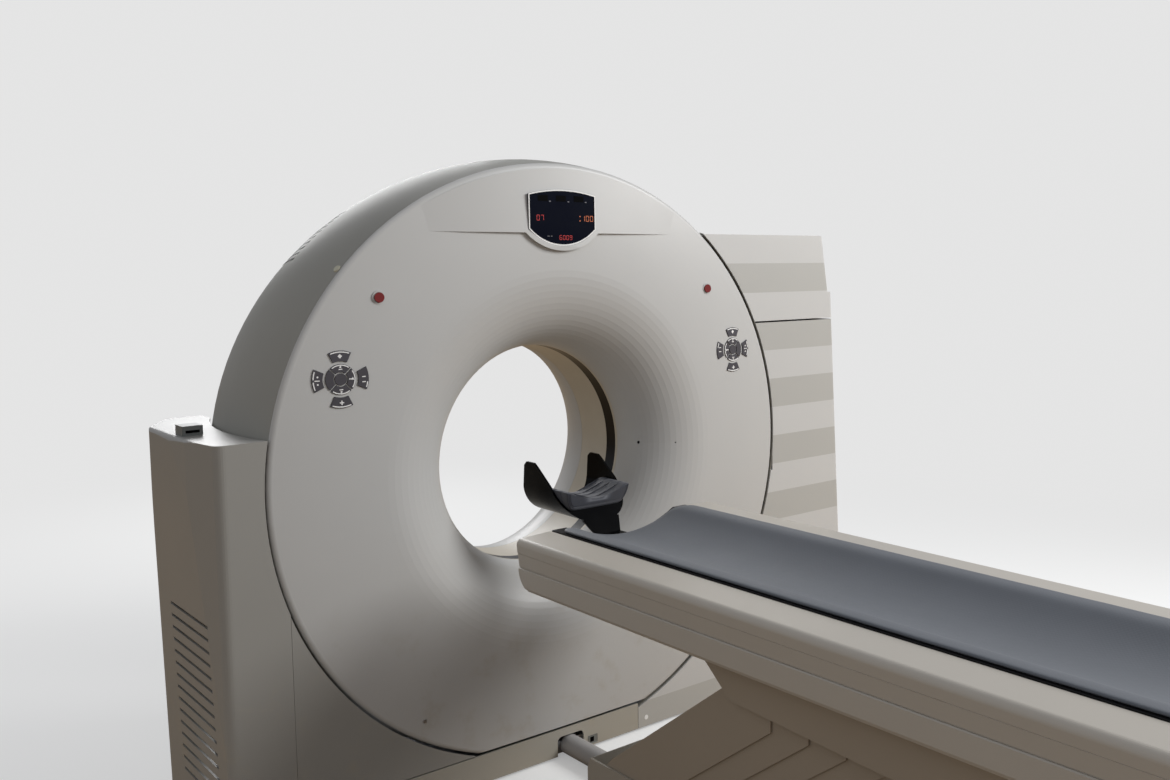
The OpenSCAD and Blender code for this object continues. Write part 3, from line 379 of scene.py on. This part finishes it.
def shapePrint(bm, middle, radius, size, corners=3, aside=0.0):
    made = bmesh.ops.create_circle(bm, cap_ends=True, segments=corners, radius=size)
    angle = math.radians(middle)
    out, side = keyAxes(angle)
    spin = Matrix.Rotation(-angle, 4, "Y") @ Matrix.Rotation(math.radians(90), 4, "X")
    place = Matrix.Translation(out * radius + side * aside)
    bmesh.ops.transform(bm, verts=made["verts"], matrix=place @ spin)


def barPrint(bm, middle, radius, length, width, aside=0.0, along=False):
    out, side = keyAxes(math.radians(middle))
    first, second = (out, side) if along else (side, out)
    for vert in unitGrid(bm):
        vert.co = out * radius + side * aside + first * (vert.co.x * length) + second * (vert.co.y * width)


ringArc = (arcPrint, {"radius": 0.0385, "width": 0.0028, "half": 36})
outerArc = (arcPrint, {"radius": 0.0738, "width": 0.003, "half": 20})
ringArrow = [ringArc,
             (shapePrint, {"radius": 0.0335, "size": 0.0042}),
             (barPrint, {"radius": 0.0275, "length": 0.010, "width": 0.0026})]
keyPrints = {                                  # what each place on a keypad carries, stroke by stroke
    "top": {"ring": ringArrow,
            "outer": [outerArc, (shapePrint, {"radius": 0.0625, "size": 0.0062, "corners": 4})]},
    "bottom": {"ring": ringArrow,
               "outer": [outerArc,
                         (barPrint, {"radius": 0.0625, "length": 0.012, "width": 0.003}),
                         (barPrint, {"radius": 0.0625, "length": 0.012, "width": 0.003, "along": True})]},
    "inward": {"ring": [ringArc,
                        (shapePrint, {"radius": 0.0325, "size": 0.0048}),
                        (barPrint, {"radius": 0.0265, "length": 0.0085, "width": 0.0028, "along": True})],
               "outer": [(arcPrint, {"radius": 0.0738, "width": 0.003, "half": 6, "turn": -14}),
                         (barPrint, {"radius": 0.0635, "length": 0.010, "width": 0.0026, "aside": 0.004,
                                     "along": True}),
                         (barPrint, {"radius": 0.0635, "length": 0.010, "width": 0.0026, "aside": -0.010,
                                     "along": True})]},
    "outward": {"outer": [(arcPrint, {"radius": 0.0738, "width": 0.003, "half": 8.5, "turn": 11}),
                          (arcPrint, {"radius": 0.0738, "width": 0.003, "half": 8.5, "turn": -11}),
                          (barPrint, {"radius": 0.0635, "length": 0.014, "width": 0.0026, "along": True}),
                          (shapePrint, {"radius": 0.062, "size": 0.0026, "corners": 10, "aside": 0.010}),
                          (shapePrint, {"radius": 0.062, "size": 0.0026, "corners": 10, "aside": -0.010})]},
}


def makeKeyPrint(side, word, ring, k, strokes):
    bm = bmesh.new()
    for draw, sizes in strokes:
        draw(bm, 90 * k, **sizes)
    for vert in bm.verts:
        x, z = side * keypad["x"] + vert.co.x, keypad["z"] + vert.co.z
        vert.co = Vector((x, -coverFront(x, z) - keypad["rise"] - keypad["proud"], z))
    thicken(bm, keypad["thick"])
    finishMesh(bm, f"{word}{ring.capitalize()}Print{k}", "printWhite", f"{word}_key_{ring}_{k}")


for side, word, outward, inward in ((-1, "left", 2, 4), (1, "right", 4, 2)):
    places = {1: "top", 3: "bottom", inward: "inward", outward: "outward"}
    for k in sorted(places):                   # a quarter turn apart
        for ring, strokes in keyPrints[places[k]].items():
            makeKeyPrint(side, word, ring, k, strokes)

print("display")
screen = {"proud": 0.0003, "thick": 0.0005, "digitHigh": 0.017, "digitWide": 0.010, "stroke": 0.0017,
          "uprights": 2.4, "pitch": 1.65}
fields = {"across": (-0.07, -0.005, 0.06), "z": 1.766, "wide": 0.036, "high": 0.018}
redText = (("07", -0.088, 1.707, 0.9), ("6009", -0.008, 1.648, 0.75))       # figures, x, z and scale
orangeText = (("100", 0.076, 1.707, 0.95),)
colon = {"x": 0.064, "heights": (1.713, 1.700), "size": 0.0035}
labels = {"across": (-0.045, 0.022, 0.086), "z": 1.757, "wide": 0.006, "high": 0.003}
dashes = {"places": ((-0.052, 0.008), (-0.041, 0.006)), "z": 1.652, "high": 0.002}      # x and width
lit = {"0": "abcdef", "1": "bc", "6": "afgedc", "7": "abc", "9": "abcfgd"}      # segments of each figure


def bar(bm, x, z, wide, high):
    for vert in unitGrid(bm):
        vert.co = Vector((x + vert.co.x * wide, windowFace - screen["proud"], z + vert.co.y * high))


def digits(bm, text, x, z, scale):
    high, wide, stroke = (screen[key] * scale for key in ("digitHigh", "digitWide", "stroke"))
    upright = high / screen["uprights"]
    segments = {"a": (0, high / 2, wide, stroke), "g": (0, 0, wide, stroke),
                "d": (0, -high / 2, wide, stroke), "b": (wide / 2, high / 4, stroke, upright),
                "c": (wide / 2, -high / 4, stroke, upright), "f": (-wide / 2, high / 4, stroke, upright),
                "e": (-wide / 2, -high / 4, stroke, upright)}
    for count, figure in enumerate(text):
        for letter in lit[figure]:
            dx, dz, barWide, barHigh = segments[letter]
            bar(bm, x + count * wide * screen["pitch"] + dx, z + dz, barWide, barHigh)


def topFields(bm):
    for x in fields["across"]:
        bar(bm, x, fields["z"], fields["wide"], fields["high"])


def redFigures(bm):
    for text, x, z, scale in redText:
        digits(bm, text, x, z, scale)


def orangeFigures(bm):
    for text, x, z, scale in orangeText:
        digits(bm, text, x, z, scale)
    for z in colon["heights"]:
        bar(bm, colon["x"], z, colon["size"], colon["size"])


def greyLabels(bm):
    for x, wide in dashes["places"]:
        bar(bm, x, dashes["z"], wide, dashes["high"])
    for x in labels["across"]:
        bar(bm, x, labels["z"], labels["wide"], labels["high"])


def screenPiece(name, material, draw):
    bm = bmesh.new()
    draw(bm)
    thicken(bm, screen["thick"] - screen["proud"] / 2)
    finishMesh(bm, name, material, "gantry")


screenPiece("displayFields", "darkPrintAndHoleShade", topFields)
screenPiece("redFigures", "digitRed", redFigures)
screenPiece("orangeFigures", "digitOrange", orangeFigures)
screenPiece("greyLabels", "labelGrey", greyLabels)

bezel = {"half": 0.1215, "top": 1.7925, "crown": 0.015, "bottom": 1.6235, "chin": 0.05, "width": 0.0035,
         "proud": 0.0008, "out": 0.0012, "steps": 20}


def displayBezelHighlight():                            # a thin white frame round the display, partly painted highlight along its edge
    bm = bmesh.new()
    ring = []
    for edge, arch, sign in (("top", "crown", 1), ("bottom", "chin", -1)):
        reach = (bezel["half"] ** 2 + bezel[arch] ** 2) / (2 * bezel[arch])
        middle = bezel[edge] - sign * reach
        for k in range(bezel["steps"] + 1):
            x = sign * bezel["half"] * (2 * k / bezel["steps"] - 1)
            ring.append(bm.verts.new((x, windowFace, middle + sign * math.sqrt(reach ** 2 - x ** 2))))
    pane = bm.faces.new(ring)
    pane.normal_update()
    bmesh.ops.inset_region(bm, faces=[pane], thickness=bezel["width"], use_boundary=True,
                           use_even_offset=True)
    bmesh.ops.delete(bm, geom=[pane], context="FACES_ONLY")
    bm.normal_update()
    bmesh.ops.solidify(bm, geom=bm.faces[:], thickness=bezel["proud"])
    bmesh.ops.translate(bm, verts=bm.verts, vec=(0, -bezel["out"], 0))
    finishMesh(bm, "displayBezelHighlight", "printWhite", "gantry")


displayBezelHighlight()

print("mattress")
cushion = {"acrossSteps": 30, "alongSteps": 72, "thick": 0.0088, "corner": 0.05, "sag": 0.0008,
           "sagAcross": 9, "sagAlong": 5, "sagSeed": 3.1, "hollow": 0.053, "radius": 0.385, "ease": 0.00002,
           "over": 0.0052, "length": 0.998, "rounding": 2}


def dishDepth(across):                         # how far the board's dish lies below its rim
    drop = cushion["hollow"] - cushion["radius"] + math.sqrt(cushion["radius"] ** 2 - across ** 2)
    return 0.5 * (drop + math.sqrt(drop ** 2 + cushion["ease"]))


def makeMattress():
    bm = bmesh.new()
    bmesh.ops.create_grid(bm, x_segments=cushion["acrossSteps"], y_segments=cushion["alongSteps"], size=1.0)
    wide, front, rear = mattressHigh.x, mattressHigh.y, mattressLow.y
    middle, half, corner = (front + rear) / 2, (front - rear) / 2, cushion["corner"]
    for vert in bm.verts:
        u, v = vert.co.x, vert.co.y
        pull = max(0.0, abs(v) * half - half + corner) / corner
        across = (wide - corner * (1 - math.sqrt(max(0.0, 1 - pull ** 2)))) * u
        spot = Vector((across * cushion["sagAcross"], v * half * cushion["sagAlong"], cushion["sagSeed"]))
        z = boardTop + cushion["over"] - cushion["sag"] * abs(noise.noise(spot)) - dishDepth(across)
        vert.co = Vector((across, middle + v * half * cushion["length"], z))
    piece = finishMesh(bm, "mattressPad", "mattressBlue", "cradle", smooth=True)
    shell = piece.modifiers.new("thickness", "SOLIDIFY")
    shell.thickness, shell.offset = cushion["thick"], 0
    soft = piece.modifiers.new("crown", "SUBSURF")
    soft.levels = soft.render_levels = cushion["rounding"]
    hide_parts("mattress")


makeMattress()

print("head pad")
pad = {"half": 0.1142, "cornerX": 0.032, "cornerZ": 0.893, "cornerR": 0.0822, "top": 0.8965, "low": 0.863,
       "hollow": 0.165, "rear": -0.2755, "back": -0.384, "front": -0.3973, "bend": 0.8377, "lean": 0.26,
       "steps": 8, "rounding": 2}
padStations = (0.03, 0.3, 0.6, 0.97, 1.0)      # shares of the way from the rear to the leaning front
# Rings on the leaning front: how far in from its edge, and how far it stands out there
padRings = ((0.0, 0.0), (0.0015, 0.0018), (0.0045, 0.0034), (0.0053, 0.0006), (0.0061, 0.0032),
            (0.0085, 0.0036), (0.0092, 0.0012), (0.0099, 0.0036), (0.0108, 0.004))


def padSection(inset=0.0):
    corner, hollow = pad["cornerR"] - inset, pad["hollow"] + inset
    turns = [math.radians(90 * k / pad["steps"]) for k in range(pad["steps"] + 1)]
    right = [(pad["cornerX"] + corner * math.cos(turn), pad["cornerZ"] - corner * math.sin(turn))
             for turn in turns]
    left = [(-x, z) for x, z in reversed(right)]
    saddle = []
    for k in range(2 * pad["steps"] + 1):
        x = (pad["half"] - inset) * (k / pad["steps"] - 1)
        dip = pad["low"] + pad["hollow"] - math.sqrt(hollow ** 2 - x ** 2)
        saddle.append((x, min(dip, pad["top"] - inset)))
    return right + left + saddle


def makeHeadPad():
    bm = bmesh.new()
    front = bm.faces.new([bm.verts.new((x, pad["rear"], z)) for x, z in padSection()])
    for share in padStations:
        made = bmesh.ops.extrude_face_region(bm, geom=[front])
        front = [item for item in made["geom"] if isinstance(item, bmesh.types.BMFace)][0]
        for vert in front.verts:
            vert.co.y = pad["rear"] + (pad["back"] - pad["rear"]) * share
    was = padSection()
    for inset, proud in padRings:              # no ring reaches down over the holder's panel
        bmesh.ops.inset_region(bm, faces=[front], thickness=0)
        now = [(x, max(z, pad["bend"] + inset)) for x, z in padSection(inset)]
        for vert in front.verts:
            nearest = min(range(len(was)), key=lambda k: math.dist(was[k], (vert.co.x, vert.co.z)))
            x, z = now[nearest]
            vert.co = Vector((x, pad["front"] - pad["lean"] * (z - pad["bend"]) - proud, z))
        was = now
    piece = finishMesh(bm, "headPad", "padGrey", "cradle", smooth=True)
    soft = piece.modifiers.new("crown", "SUBSURF")
    soft.levels = soft.render_levels = pad["rounding"]
    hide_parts("head_pad")


makeHeadPad()

print("small parts of the covers")
ball = {"radius": 0.940, "fixed": 0.948}       # the tilting covers, and the fixed ones round them
lip = {"out": 0.0005, "thick": 0.0024, "front": 0.2193, "rear": 0.195, "from": -72, "to": 50, "steps": 90}


def onBall(angle, y, radius):                  # a place on the ball that the tilting covers follow
    reach = math.sqrt(radius ** 2 - y ** 2)
    turn = math.radians(angle)
    return Vector((reach * math.cos(turn), y, isoHeight + reach * math.sin(turn)))


def returnLip():                               # the fixed covers' edge, turned in beside the tilting ones
    bm = bmesh.new()
    near = ball["fixed"] + lip["out"]
    far = near + lip["thick"]
    corners = ((-lip["front"], near), (-lip["front"], far), (-lip["rear"], far), (-lip["rear"], near))
    ring = [bm.verts.new(onBall(lip["from"], y, radius)) for y, radius in corners]
    edges = [bm.edges.new((ring[k - 1], ring[k])) for k in range(len(ring))]
    bmesh.ops.spin(bm, geom=ring + edges, cent=(0, 0, isoHeight), axis=(0, -1, 0),
                   angle=math.radians(lip["to"] - lip["from"]), steps=lip["steps"])
    bmesh.ops.holes_fill(bm, edges=[edge for edge in bm.edges if edge.is_boundary])
    finishMesh(bm, "returnLip", "skirtPaint", "base")


returnLip()

louvre = {"count": 10, "from": 124.5, "to": 137.5, "front": 0.12, "rear": 0.25, "half": 0.26,
          "proud": 0.0003, "thick": 0.0006, "steps": 10}


# dark slats on the rim, painted as the shade inside the vent's slots
def rimLouvres():
    bm = bmesh.new()
    for k in range(louvre["count"]):
        middle = louvre["from"] + (louvre["to"] - louvre["from"]) * k / (louvre["count"] - 1)
        for vert in unitGrid(bm, 1, louvre["steps"]):
            y = (louvre["front"] + louvre["rear"]) / 2 + (louvre["rear"] - louvre["front"]) * vert.co.y
            vert.co = onBall(middle + 2 * louvre["half"] * vert.co.x, y, ball["radius"] + louvre["proud"])
    bmesh.ops.recalc_face_normals(bm, faces=bm.faces)
    bmesh.ops.solidify(bm, geom=bm.faces[:], thickness=louvre["thick"])
    finishMesh(bm, "rimLouvres", "louvreSlotShade", "gantry")


rimLouvres()

cap = {"angle": 139.2, "y": -0.200, "radius": 0.011, "taper": 0.86, "deep": 0.003, "lifted": 0.4,
       "sides": 32}


def rimCap():
    bm = bmesh.new()
    bmesh.ops.create_cone(bm, cap_ends=True, segments=cap["sides"], radius1=cap["radius"],
                          radius2=cap["radius"] * cap["taper"], depth=cap["deep"])
    seat = onBall(cap["angle"], cap["y"], ball["radius"])
    out = (seat - Vector((0, 0, isoHeight))).normalized()
    place = Matrix.Translation(seat + out * cap["deep"] * cap["lifted"])
    bmesh.ops.transform(bm, verts=bm.verts, matrix=place @ out.to_track_quat("Z", "Y").to_matrix().to_4x4())
    finishMesh(bm, "rimCap", "capYellow", "gantry")


rimCap()

# Small boxes on the base: two corners, the depth of the sunken front and the width of its rim
boxes = {
    "skirtSocket": {"material": "socketGrey", "slot": "conduit_grey", "low": (0.075, -0.2265, 0.014),
                    "high": (0.111, -0.2248, 0.042), "sink": 0.001, "rim": 0.0035},
    # painted shade inside the socket's hole
    "skirtSocketHole": {"material": "darkPrintAndHoleShade", "slot": "window_black", "low": (0.083, -0.2262, 0.020),
                        "high": (0.097, -0.2252, 0.036), "sink": 0.0004, "rim": 0.00168},
    "towerTopBox": {"material": "socketGrey", "slot": "conduit_grey", "low": (-1.045, 0.012, 1.117),
                    "high": (-0.992, 0.070, 1.145), "sink": 0.0004, "rim": 0.00336},
    # painted shade inside the box's slot
    "towerTopSlot": {"material": "darkPrintAndHoleShade", "slot": "window_black", "low": (-1.036, 0.0112, 1.126),
                     "high": (-1.001, 0.0122, 1.133), "sink": 0.0004, "rim": 0.00084},
}


def smallBox(name, box):
    bm = bmesh.new()
    low, high = Vector(box["low"]), Vector(box["high"])
    bmesh.ops.create_cube(bm, size=1)
    bmesh.ops.scale(bm, verts=bm.verts, vec=high - low)
    bmesh.ops.translate(bm, verts=bm.verts, vec=(low + high) / 2)
    front = [side for side in bm.faces if side.normal.y < -0.5]
    bmesh.ops.inset_region(bm, faces=front, thickness=box["rim"])
    for vert in front[0].verts:
        vert.co.y += box["sink"]
    finishMesh(bm, name, box["material"], "base")


for name, box in boxes.items():
    smallBox(name, box)

# Round marks on the front covers
discShape = {"deep": 0.0012, "sunk": 0.0004, "sides": 28}
discs = {
    "coverScrew": {"body": "gantry", "material": "keyRim", "slot": "cover_white",
                   "x": -0.496, "z": 0.255, "radius": 0.006},
    # the two probe holes are dark discs of painted shade
    "probeHoleLeft": {"body": "gantry", "material": "darkPrintAndHoleShade", "slot": "window_black",
                      "x": 0.296, "z": 0.980, "radius": 0.005},
    "probeHoleRight": {"body": "gantry", "material": "darkPrintAndHoleShade", "slot": "window_black",
                       "x": 0.446, "z": 0.964, "radius": 0.0025},
    "infillPlug": {"body": "base", "material": "printWhite", "slot": "cover_white",
                   "x": 0.314, "z": 0.038, "radius": 0.008},
}


def disc(name, mark):
    bm = bmesh.new()
    deep, x, z = discShape["deep"], mark["x"], mark["z"]
    bmesh.ops.create_cone(bm, cap_ends=True, segments=discShape["sides"], radius1=mark["radius"],
                          radius2=mark["radius"], depth=deep)
    front = coverFront(x, z) if mark["body"] == "gantry" else cover["front"]
    place = Matrix.Translation((x, -front - deep / 2 + discShape["sunk"], z))
    bmesh.ops.transform(bm, verts=bm.verts, matrix=place @ Matrix.Rotation(math.radians(90), 4, "X"))
    finishMesh(bm, name, mark["material"], mark["body"])


for name, mark in discs.items():
    disc(name, mark)

print("room, light and camera")
room = {"reach": 40, "floor": (0.60, 0.60, 0.59), "patches": (1.5, 2), "shade": 0.98,
        "lift": (0.30, 0.30, 0.30), "wall": (0.78, 0.78, 0.78), "bounce": (0.38, 0.27, 0.16),
        "middle": 0.9, "squeeze": 0.5, "floorTo": 1.6, "wallFrom": 5.0}


def makeStage():                               # a floor that fades to the wall's colour in the distance
    bm = bmesh.new()
    bmesh.ops.create_grid(bm, x_segments=1, y_segments=1, size=room["reach"])
    finish = Finish("floorPale", Roughness=0.8, Specular_IOR_Level=0.0, Emission_Strength=1.0)
    x, y = finish.axes()[:2]
    along = y + room["middle"]
    distance = (x * x + along * along * room["squeeze"]).math("SQRT")
    away = finish.ramp(distance, room["floorTo"], room["wallFrom"])
    near = finish.mix(finish.noise(*room["patches"]), room["floor"], darker(room["floor"], room["shade"]))
    seen = finish.add("LightPath", {}, {}).part("Is Camera Ray")
    finish.set("Base Color", finish.mix(seen, room["bounce"], finish.mix(away, near, (0, 0, 0))))
    finish.set("Emission Color", finish.mix(seen, (0, 0, 0), finish.mix(away, room["lift"], room["wall"])))
    ground = finishMesh(bm, "floor", "floorPale", None)


makeStage()

sky = {"colour": (0.93, 0.95, 1, 1), "strength": 0.42}


def makeWorld():                               # soft light all round, and the wall's colour for the camera
    world = bpy.data.worlds.new("studio")
    bpy.context.scene.world = world
    world.use_nodes = True
    tree = world.node_tree
    light = tree.nodes["Background"]
    light.inputs["Color"].default_value = sky["colour"]
    light.inputs["Strength"].default_value = sky["strength"]
    seen = tree.nodes.new("ShaderNodeBackground")
    seen.inputs["Color"].default_value = (*room["wall"], 1)
    path = tree.nodes.new("ShaderNodeLightPath")
    choose = tree.nodes.new("ShaderNodeMixShader")
    tree.links.new(path.outputs["Is Camera Ray"], choose.inputs[0])
    tree.links.new(light.outputs[0], choose.inputs[1])
    tree.links.new(seen.outputs[0], choose.inputs[2])
    tree.links.new(choose.outputs[0], tree.nodes["World Output"].inputs["Surface"])


makeWorld()

lamps = {
    "ceiling": {"place": (3.5, -3.5, 3.5), "target": (0, -0.5, 0.9), "size": 2.4, "power": 215,
                "colour": (1, 1, 0.995)},
    "left": {"place": (-4.5, -3.0, 2.8), "target": (0, -0.4, 0.9), "size": 3.0, "power": 9,
             "colour": (0.96, 0.98, 1)},
    "rear": {"place": (1.5, 5.8, 3.6), "target": (0, 0.3, 0.9), "size": 3.0, "power": 150,
             "colour": (1, 1, 1)},
}


def makeLamp(name, given):
    light = bpy.data.lights.new(name, "AREA")
    light.shape = "DISK"
    light.size = given["size"]
    light.energy = given["power"]
    light.color = given["colour"]
    holder = bpy.data.objects.new(name, light)
    holder.location = given["place"]
    holder.rotation_euler = (Vector(given["target"]) - holder.location).to_track_quat("-Z", "Y").to_euler()
    bpy.context.scene.collection.objects.link(holder)


for name, given in lamps.items():
    makeLamp(name, given)

photoCamera = {"place": (-1.9525, -3.1419, 1.5667), "yaw": 41.7606, "pitch": 5.0449, "roll": -0.4341,
               "focal": 1124.38, "centre": (718.0, 362.37), "size": (1170, 780), "sensor": 36, "far": 100}


def makeCamera():                              # focal length and centre are in the photograph's pixels
    yaw, pitch, roll = (math.radians(photoCamera[key]) for key in ("yaw", "pitch", "roll"))
    ahead = Vector((math.sin(yaw) * math.cos(pitch), math.cos(yaw) * math.cos(pitch), -math.sin(pitch)))
    right = Vector((math.cos(yaw), -math.sin(yaw), 0))
    up = right.cross(ahead)
    across = right * math.cos(roll) + up * math.sin(roll)
    upright = up * math.cos(roll) - right * math.sin(roll)
    lens = bpy.data.cameras.new("camera")
    wide, high = photoCamera["size"]
    lens.sensor_width = photoCamera["sensor"]
    lens.lens = photoCamera["sensor"] * photoCamera["focal"] / wide
    lens.shift_x = (wide / 2 - photoCamera["centre"][0]) / wide
    lens.shift_y = (photoCamera["centre"][1] - high / 2) / wide
    lens.clip_end = photoCamera["far"]
    holder = bpy.data.objects.new("camera", lens)
    turned = Matrix((across, upright, -ahead)).transposed().to_4x4()
    holder.matrix_world = Matrix.Translation(photoCamera["place"]) @ turned
    bpy.context.scene.collection.objects.link(holder)
    bpy.context.scene.camera = holder


makeCamera()
bpy.context.scene.view_settings.view_transform = "Standard"
